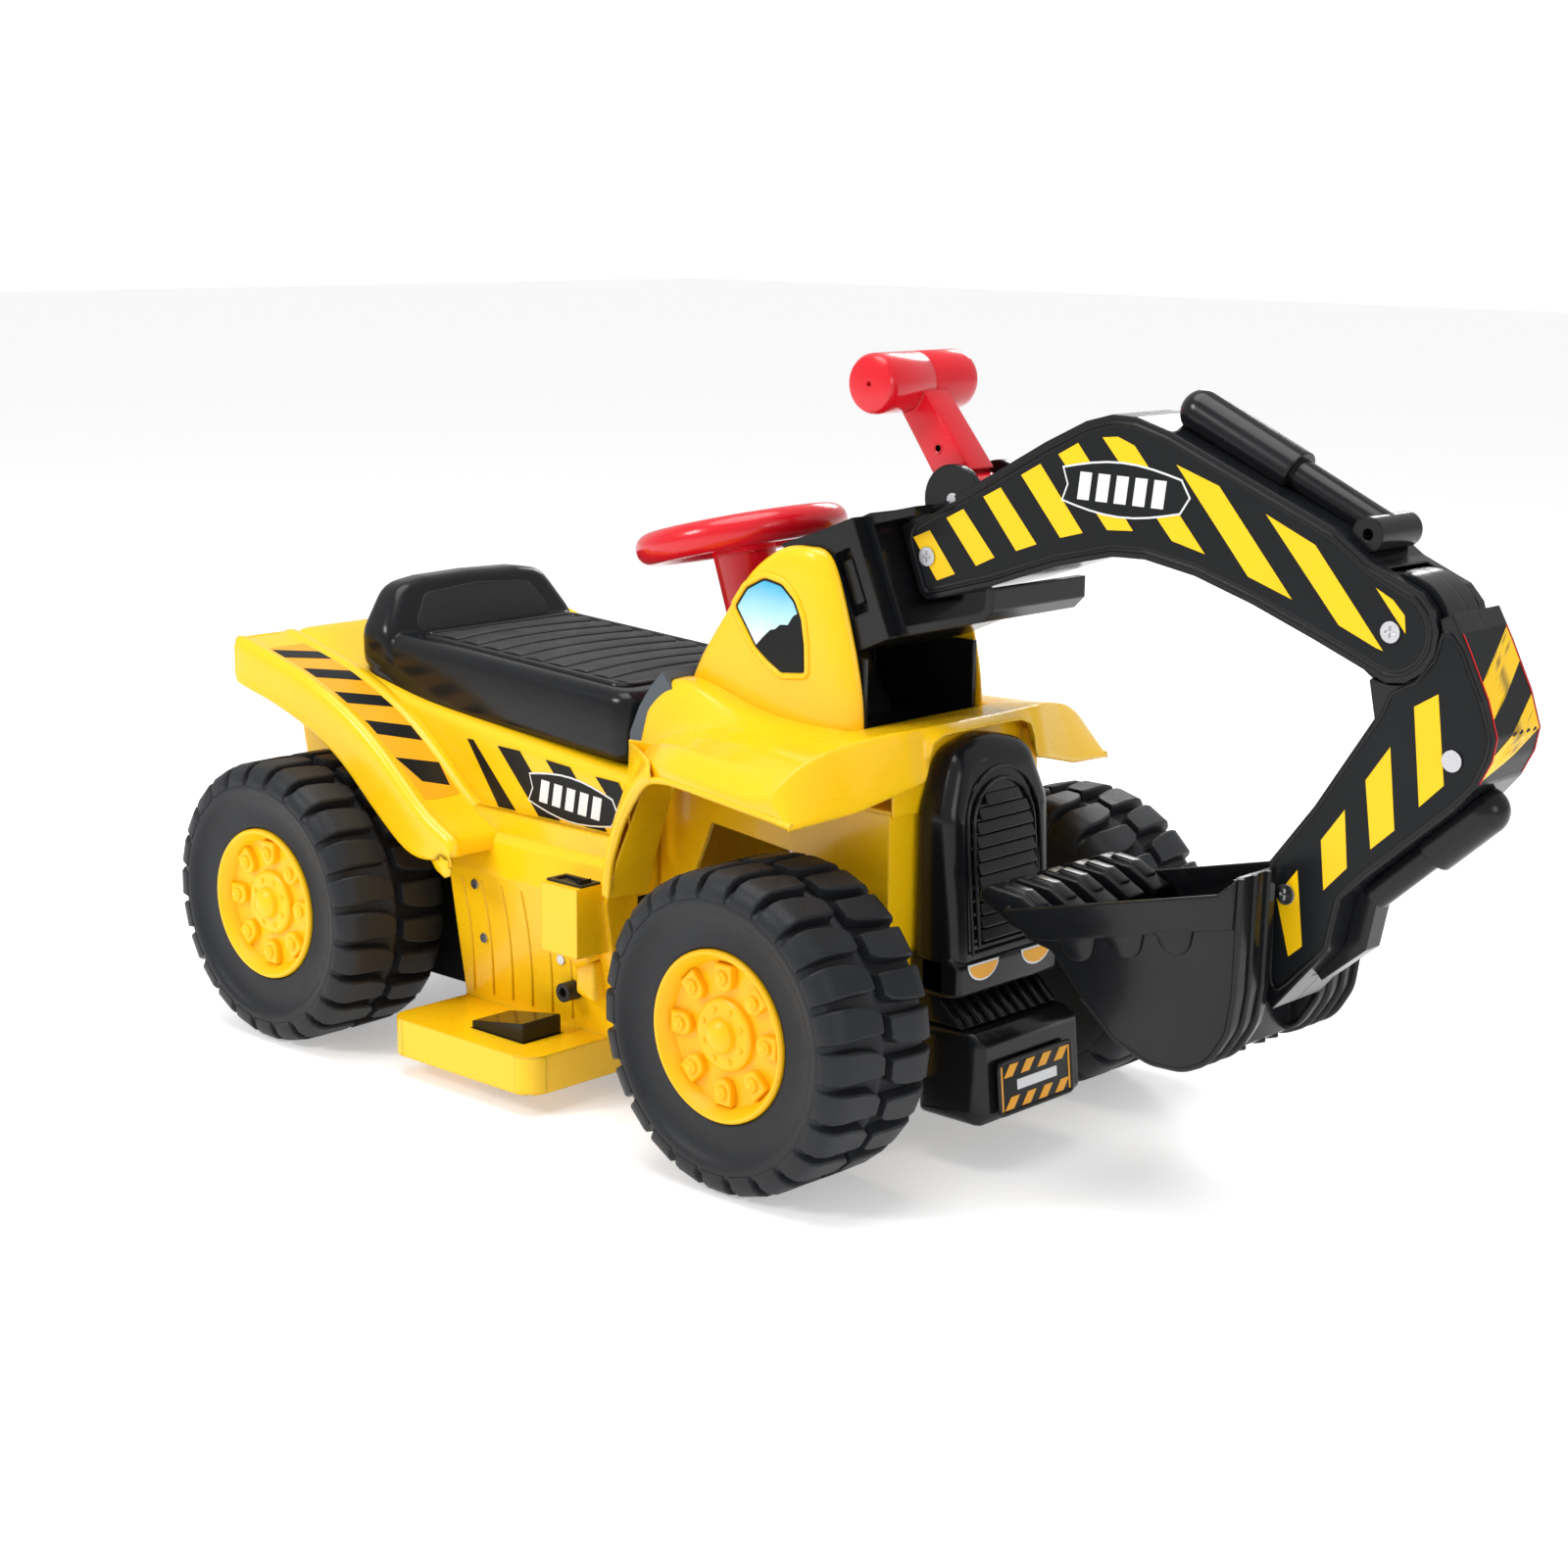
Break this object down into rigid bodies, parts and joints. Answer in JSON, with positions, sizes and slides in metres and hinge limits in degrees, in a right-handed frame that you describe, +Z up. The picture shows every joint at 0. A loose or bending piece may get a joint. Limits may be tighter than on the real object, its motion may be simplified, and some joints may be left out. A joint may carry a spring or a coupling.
{
  "type": "ride on digger",
  "caption": "Child's electric ride-on digger: yellow body, moulded seat, steering wheel, pedal, knobbly wheels and a lever-worked boom, stick and toothed bucket.",
  "frame": {"origin": "on the floor under the middle of the overall box at rest", "axes": "+X forward towards the digging arm, +Y the driver's left, +Z up"},
  "size_m": [0.88, 0.36, 0.46],
  "materials": {
    "body_yellow": "glossy moulded polypropylene",
    "black_moulding": "glossy moulded polypropylene",
    "tyre_plastic": "fine-grained blow-moulded plastic",
    "red_plastic": "glossy moulded plastic",
    "grey_plastic": "satin moulded plastic",
    "zinc_steel": "zinc-plated",
    "black_component": "satin nylon",
    "white_nylon": "natural nylon",
    "battery_case": "moulded ABS"
  },
  "bodies": {
    "chassis": {"chassis_pan": "black_moulding", "rear_body_shell": "body_yellow", "step_panel_left": "body_yellow", "step_panel_right": "body_yellow", "front_well_shell": "body_yellow", "hood_shell": "body_yellow", "dashboard_panel": "grey_plastic", "front_grille": "black_moulding", "front_bumper": "black_moulding", "seat": "black_moulding", "rear_axle": "zinc_steel", "rear_axle_nuts": "zinc_steel", "fixed_pins": "zinc_steel", "gearbox_case_outer": "black_component", "gearbox_case_inner": "black_component", "motor": "zinc_steel", "battery": "battery_case", "battery_strap": "zinc_steel", "charge_socket": "black_component", "switch_bezel": "black_component", "pedal_switch": "black_component", "axle_beam": "black_moulding", "column_bracket": "black_moulding", "arm_mount": "black_moulding", "arm_tray": "black_moulding", "arm_holder": "black_moulding", "panel_screws": "zinc_steel"},
    "rear_wheel_right": {"rear_tyre_right": "tyre_plastic", "rear_cap_right": "body_yellow", "output_gear": "white_nylon"},
    "rear_wheel_left": {"rear_tyre_left": "tyre_plastic", "rear_cap_left": "body_yellow"},
    "front_wheel_right": {"front_tyre_right": "tyre_plastic", "front_cap_right": "body_yellow"},
    "front_wheel_left": {"front_tyre_left": "tyre_plastic", "front_cap_left": "body_yellow"},
    "knuckle_right": {"knuckle_right": "zinc_steel", "front_axle_nut_right": "zinc_steel"},
    "knuckle_left": {"knuckle_left": "zinc_steel", "front_axle_nut_left": "zinc_steel"},
    "tie_rod": {"tie_rod": "zinc_steel"},
    "steering": {"steering_column": "zinc_steel", "steering_wheel": "red_plastic"},
    "compound_gear": {"compound_gear": "white_nylon"},
    "motor_pinion": {"motor_pinion": "zinc_steel"},
    "pedal": {"pedal": "black_moulding"},
    "rocker_switch": {"rocker_switch": "black_component"},
    "boom": {"boom_half_left": "black_moulding", "boom_half_right": "black_moulding", "boom_pins": "zinc_steel", "boom_cylinder": "black_moulding"},
    "lever": {"lever_half_left": "red_plastic", "lever_half_right": "red_plastic"},
    "control_rod": {"control_rod": "zinc_steel"},
    "stick": {"stick_half_left": "black_moulding", "stick_half_right": "black_moulding", "stick_pins": "zinc_steel", "stick_cylinder": "black_moulding"},
    "bucket": {"bucket": "black_moulding"}
  },
  "joints": [
    {"name": "rear_wheel_right_spin", "type": "hinge", "parent": "chassis", "child": "rear_wheel_right", "pos_m": [-0.3475, 0, 0.0925], "axis": [0, 1, 0], "continuous": true},
    {"name": "rear_wheel_left_spin", "type": "hinge", "parent": "chassis", "child": "rear_wheel_left", "pos_m": [-0.3475, 0, 0.0925], "axis": [0, 1, 0], "continuous": true},
    {"name": "steering_turn", "type": "hinge", "parent": "chassis", "child": "steering", "pos_m": [-0.088, 0, 0.342], "axis": [-0.2419, 0, 0.9703], "range_deg": [-22, 22]},
    {"name": "knuckle_right_steer", "type": "hinge", "parent": "chassis", "child": "knuckle_right", "pos_m": [0.0635, -0.08, 0.0925], "axis": [0, 0, 1], "range_deg": [-14.67, 14.67]},
    {"name": "knuckle_left_steer", "type": "hinge", "parent": "chassis", "child": "knuckle_left", "pos_m": [0.0635, 0.08, 0.0925], "axis": [0, 0, 1], "range_deg": [-14.67, 14.67]},
    {"name": "tie_rod_slide", "type": "slide", "parent": "chassis", "child": "tie_rod", "axis": [0, 1, 0], "range_m": [-0.01152, 0.01152]},
    {"name": "front_wheel_right_spin", "type": "hinge", "parent": "knuckle_right", "child": "front_wheel_right", "pos_m": [0.0635, -0.137, 0.0925], "axis": [0, 1, 0], "continuous": true},
    {"name": "front_wheel_left_spin", "type": "hinge", "parent": "knuckle_left", "child": "front_wheel_left", "pos_m": [0.0635, 0.137, 0.0925], "axis": [0, 1, 0], "continuous": true},
    {"name": "compound_gear_spin", "type": "hinge", "parent": "chassis", "child": "compound_gear", "pos_m": [-0.31288, -0.067, 0.0986], "axis": [0, 1, 0], "continuous": true},
    {"name": "motor_pinion_spin", "type": "hinge", "parent": "chassis", "child": "motor_pinion", "pos_m": [-0.28339, -0.062, 0.09234], "axis": [0, 1, 0], "continuous": true},
    {"name": "pedal_press", "type": "hinge", "parent": "chassis", "child": "pedal", "pos_m": [-0.176, -0.1275, 0.032], "axis": [0, 1, 0], "range_deg": [0, 7], "stiffness_Nm_per_rad": 0.8, "springref_deg": -5.73},
    {"name": "switch_rock", "type": "hinge", "parent": "chassis", "child": "rocker_switch", "pos_m": [-0.11225, -0.1195, 0.137], "axis": [0, 1, 0], "range_deg": [0, 16]},
    {"name": "boom_lift", "type": "hinge", "parent": "chassis", "child": "boom", "pos_m": [0.082, 0, 0.347], "axis": [0, -1, 0], "range_deg": [0, 12]},
    {"name": "stick_swing", "type": "hinge", "parent": "boom", "child": "stick", "pos_m": [0.381, 0, 0.338], "axis": [0, -1, 0], "range_deg": [-3, 30]},
    {"name": "lever_turn", "type": "hinge", "parent": "boom", "child": "lever", "pos_m": [0.097, 0, 0.38], "axis": [0, -1, 0], "range_deg": [-3, 30]},
    {"name": "control_rod_turn", "type": "hinge", "parent": "lever", "child": "control_rod", "pos_m": [0.097, 0.0146, 0.366], "axis": [0, -1, 0], "range_deg": [-30, 3]},
    {"name": "bucket_tilt", "type": "hinge", "parent": "stick", "child": "bucket", "pos_m": [0.327, 0, 0.194], "axis": [0, -1, 0], "range_deg": [-20, 15]}
  ],
  "couplings": [
    {"joint": "compound_gear_spin", "follows": "rear_wheel_right_spin", "ratio": -3.6667},
    {"joint": "motor_pinion_spin", "follows": "rear_wheel_right_spin", "ratio": 14.667},
    {"joint": "knuckle_right_steer", "follows": "steering_turn", "ratio": 0.66667},
    {"joint": "knuckle_left_steer", "follows": "steering_turn", "ratio": 0.66667},
    {"joint": "tie_rod_slide", "follows": "steering_turn", "m_per_rad": -0.03},
    {"joint": "lever_turn", "follows": "stick_swing", "ratio": 1},
    {"joint": "control_rod_turn", "follows": "stick_swing", "ratio": -1}
  ]
}
